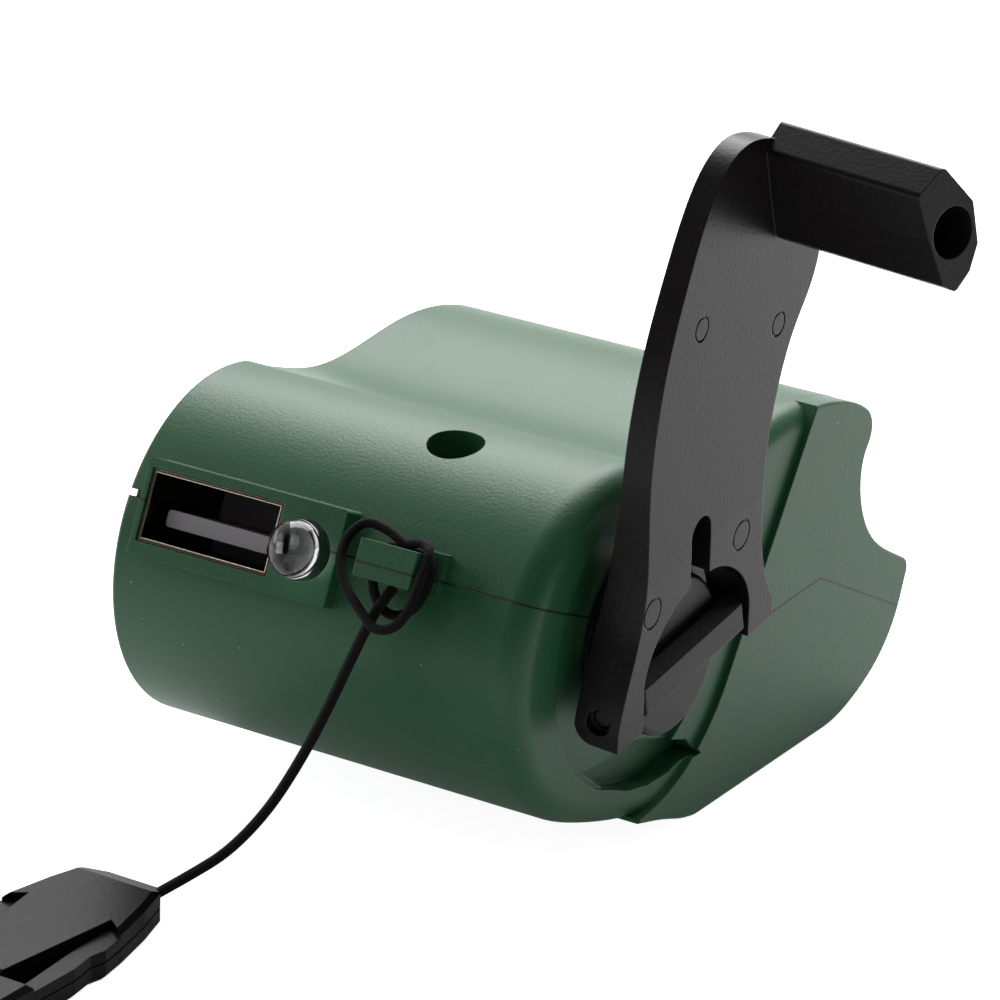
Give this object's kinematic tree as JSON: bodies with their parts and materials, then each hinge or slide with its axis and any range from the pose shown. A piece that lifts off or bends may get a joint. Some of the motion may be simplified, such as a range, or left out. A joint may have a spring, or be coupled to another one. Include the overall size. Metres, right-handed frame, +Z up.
{
  "type": "hand crank phone charger",
  "caption": "Palm-sized hand crank phone charger: green two-shell case, folding side crank with fixed handle, front socket and lamp, wrist cord with buckle.",
  "frame": {"origin": "on the floor plane below the middle of the charger with its crank arm up, wrist cord and buckle left out", "axes": "+X along the crank axis out of the crank side, +Y to the rear, +Z up"},
  "size_m": [0.0628, 0.1099, 0.0642],
  "materials": {
    "green_abs": "finely textured moulded green plastic",
    "black_abs": "satin moulded black plastic",
    "black_acetal": "semi gloss black plastic",
    "white_nylon": "plain white moulded plastic",
    "black_epoxy": "moulded epoxy",
    "board_green": "solder masked glass fibre board",
    "clear_epoxy": "water clear moulded lens",
    "plated_steel": "plated steel",
    "tinned_steel": "tinned sheet and wire",
    "black_steel": "blackened steel",
    "gold_brass": "turned brass",
    "can_aluminium": "drawn aluminium",
    "dark_ferrite": "bonded ferrite",
    "black_cord": "braided black cord"
  },
  "bodies": {
    "case": {"board_chips": "black_epoxy", "buckle_female": "black_acetal", "buckle_male": "black_acetal", "capacitor": "can_aluminium", "case_screws": "black_steel", "circuit_board": "board_green", "first_idler_axle": "plated_steel", "generator_can": "plated_steel", "generator_end_cap": "white_nylon", "generator_magnets": "dark_ferrite", "generator_screws": "black_steel", "hub_washer": "black_steel", "inner_gear_plate": "plated_steel", "lanyard_cord": "black_cord", "lanyard_hitch": "black_cord", "led_leads": "tinned_steel", "led_lens": "clear_epoxy", "lower_shell": "green_abs", "outer_gear_plate": "plated_steel", "plate_pillars": "gold_brass", "plate_screws": "black_steel", "rectifier_diodes": "black_epoxy", "second_idler_axle": "plated_steel", "shaft_bush": "gold_brass", "upper_shell": "green_abs", "usb_contacts": "gold_brass", "usb_shell": "plated_steel", "usb_tongue": "white_nylon"},
    "crank": {"drive_shaft": "plated_steel", "crank_gear": "white_nylon", "crank_hub": "black_abs", "retaining_clip": "black_steel"},
    "arm": {"crank_arm": "black_abs", "hinge_pin": "plated_steel"},
    "first_idler": {"first_idler_gear": "white_nylon"},
    "second_idler": {"second_idler_gear": "white_nylon"},
    "rotor": {"generator_rotor": "tinned_steel", "generator_shaft": "plated_steel", "rotor_pinion": "gold_brass"}
  },
  "joints": [
    {"name": "crank_spin", "type": "hinge", "parent": "case", "child": "crank", "pos_m": [0.01156, -0.01253, 0.02008], "axis": [1, 0, 0], "continuous": true},
    {"name": "arm_fold", "type": "hinge", "parent": "crank", "child": "arm", "pos_m": [0.01156, -0.01246, 0.01908], "axis": [0, 0.988, 0.1547], "range_deg": [0, 176]},
    {"name": "first_idler_spin", "type": "hinge", "parent": "case", "child": "first_idler", "pos_m": [-0.00204, 0.00054, 0.01506], "axis": [1, 0, 0], "continuous": true},
    {"name": "second_idler_spin", "type": "hinge", "parent": "case", "child": "second_idler", "pos_m": [-0.00404, 0.00959, 0.02294], "axis": [1, 0, 0], "continuous": true},
    {"name": "rotor_spin", "type": "hinge", "parent": "case", "child": "rotor", "pos_m": [-0.01104, 0.01252, 0.01443], "axis": [1, 0, 0], "continuous": true}
  ],
  "couplings": [
    {"joint": "first_idler_spin", "follows": "crank_spin", "ratio": -3.6667},
    {"joint": "second_idler_spin", "follows": "crank_spin", "ratio": 11},
    {"joint": "rotor_spin", "follows": "crank_spin", "ratio": -22}
  ]
}
